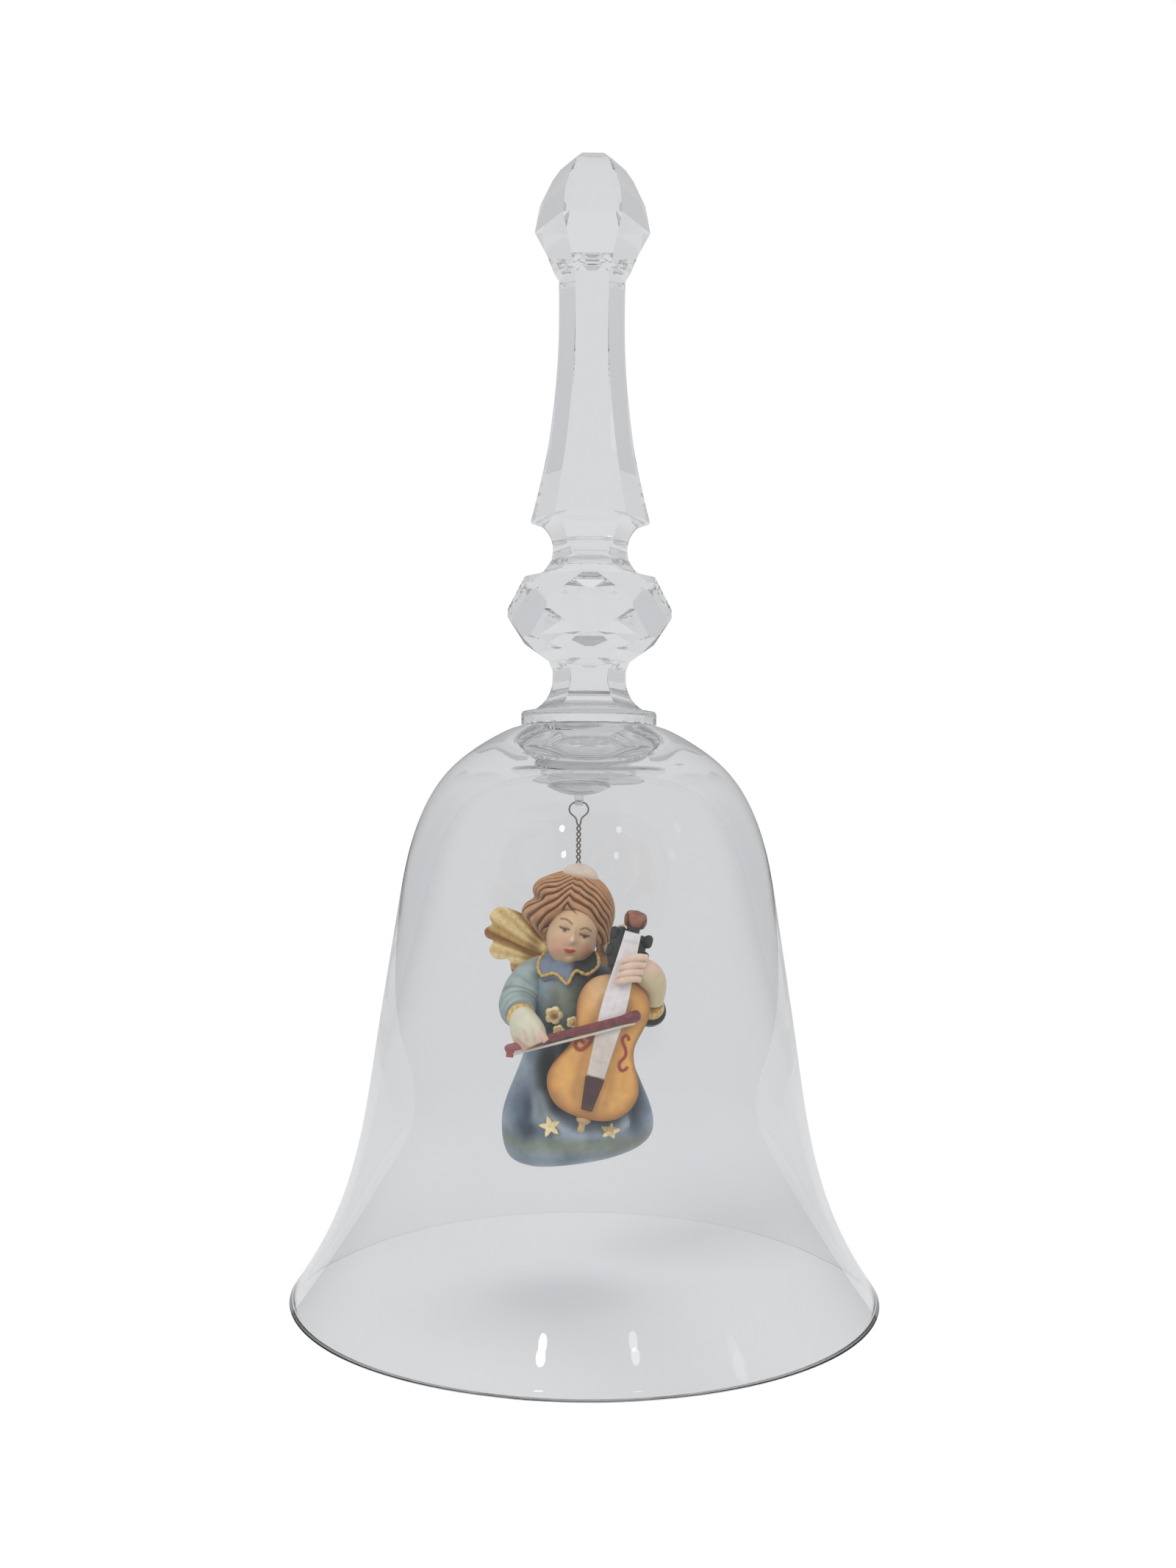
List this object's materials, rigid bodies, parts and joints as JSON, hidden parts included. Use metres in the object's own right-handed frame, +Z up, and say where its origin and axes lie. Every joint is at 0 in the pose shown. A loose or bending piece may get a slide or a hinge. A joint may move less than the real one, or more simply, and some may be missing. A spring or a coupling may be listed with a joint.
{
  "type": "glass bell",
  "caption": "Clear crystal hand bell with a faceted handle; a painted carved angel playing a cello hangs inside on a wire loop as the clapper.",
  "frame": {"origin": "centre of the rim's plane, on the bell's axis", "axes": "+Z up along the bell's axis towards the handle, the angel faces -Y, +X to the viewer's right"},
  "size_m": [0.0868, 0.0868, 0.17],
  "materials": {
    "crystal": "cut and polished, clear",
    "bowl_glass": "blown and fire polished, clear",
    "adhesive": "clear set adhesive with small bubbles",
    "silver_wire": "bright drawn wire",
    "hair_paint": "carved and painted chestnut, satin",
    "skin_paint": "carved and painted skin tone, satin",
    "dress_paint": "carved and glazed blue and green, satin",
    "gilding": "carved and gilded",
    "cello_varnish": "carved, amber varnish",
    "ivory_paint": "carved and painted pale silver grey",
    "dark_paint": "carved and painted dark brown",
    "bow_paint": "carved and painted red brown"
  },
  "bodies": {
    "bell": {"crystal_handle": "crystal", "handle_bond": "adhesive", "bell_bowl": "bowl_glass", "button_bond": "adhesive", "hanger_button": "bowl_glass", "hanger_peg": "bowl_glass"},
    "hanging_loop": {"wire_loop": "silver_wire"},
    "hanging_wire": {"wire_twist": "silver_wire"},
    "angel": {"glue_bead": "adhesive", "angel_hair": "hair_paint", "angel_head": "skin_paint", "angel_dress": "dress_paint", "collar_trim": "gilding", "right_sleeve": "dress_paint", "right_cuff": "gilding", "right_hand": "skin_paint", "left_sleeve": "dress_paint", "left_cuff": "gilding", "left_hand": "skin_paint", "right_wing": "gilding", "left_wing": "gilding", "cello_body": "cello_varnish", "cello_neck": "dark_paint", "cello_strings": "ivory_paint", "cello_tailpiece": "dark_paint", "cello_pegs": "dark_paint", "cello_end_pin": "cello_varnish", "bow_stick": "bow_paint", "bow_hair": "cello_varnish", "bow_frog": "dark_paint", "sash_flowers": "gilding", "dress_stars": "gilding"}
  },
  "joints": [
    {"name": "swing_fore_aft", "type": "hinge", "parent": "bell", "child": "hanging_loop", "pos_m": [-0.0014, 0, 0.074], "axis": [1, 0, 0], "range_deg": [-12, 12]},
    {"name": "swing_side", "type": "hinge", "parent": "hanging_loop", "child": "hanging_wire", "pos_m": [-0.0014, 0, 0.0704], "axis": [0, 1, 0], "range_deg": [-12, 12]},
    {"name": "turn", "type": "hinge", "parent": "hanging_wire", "child": "angel", "pos_m": [-0.0014, 0, 0.0642], "axis": [0, 0, 1], "range_deg": [-25, 25]}
  ]
}
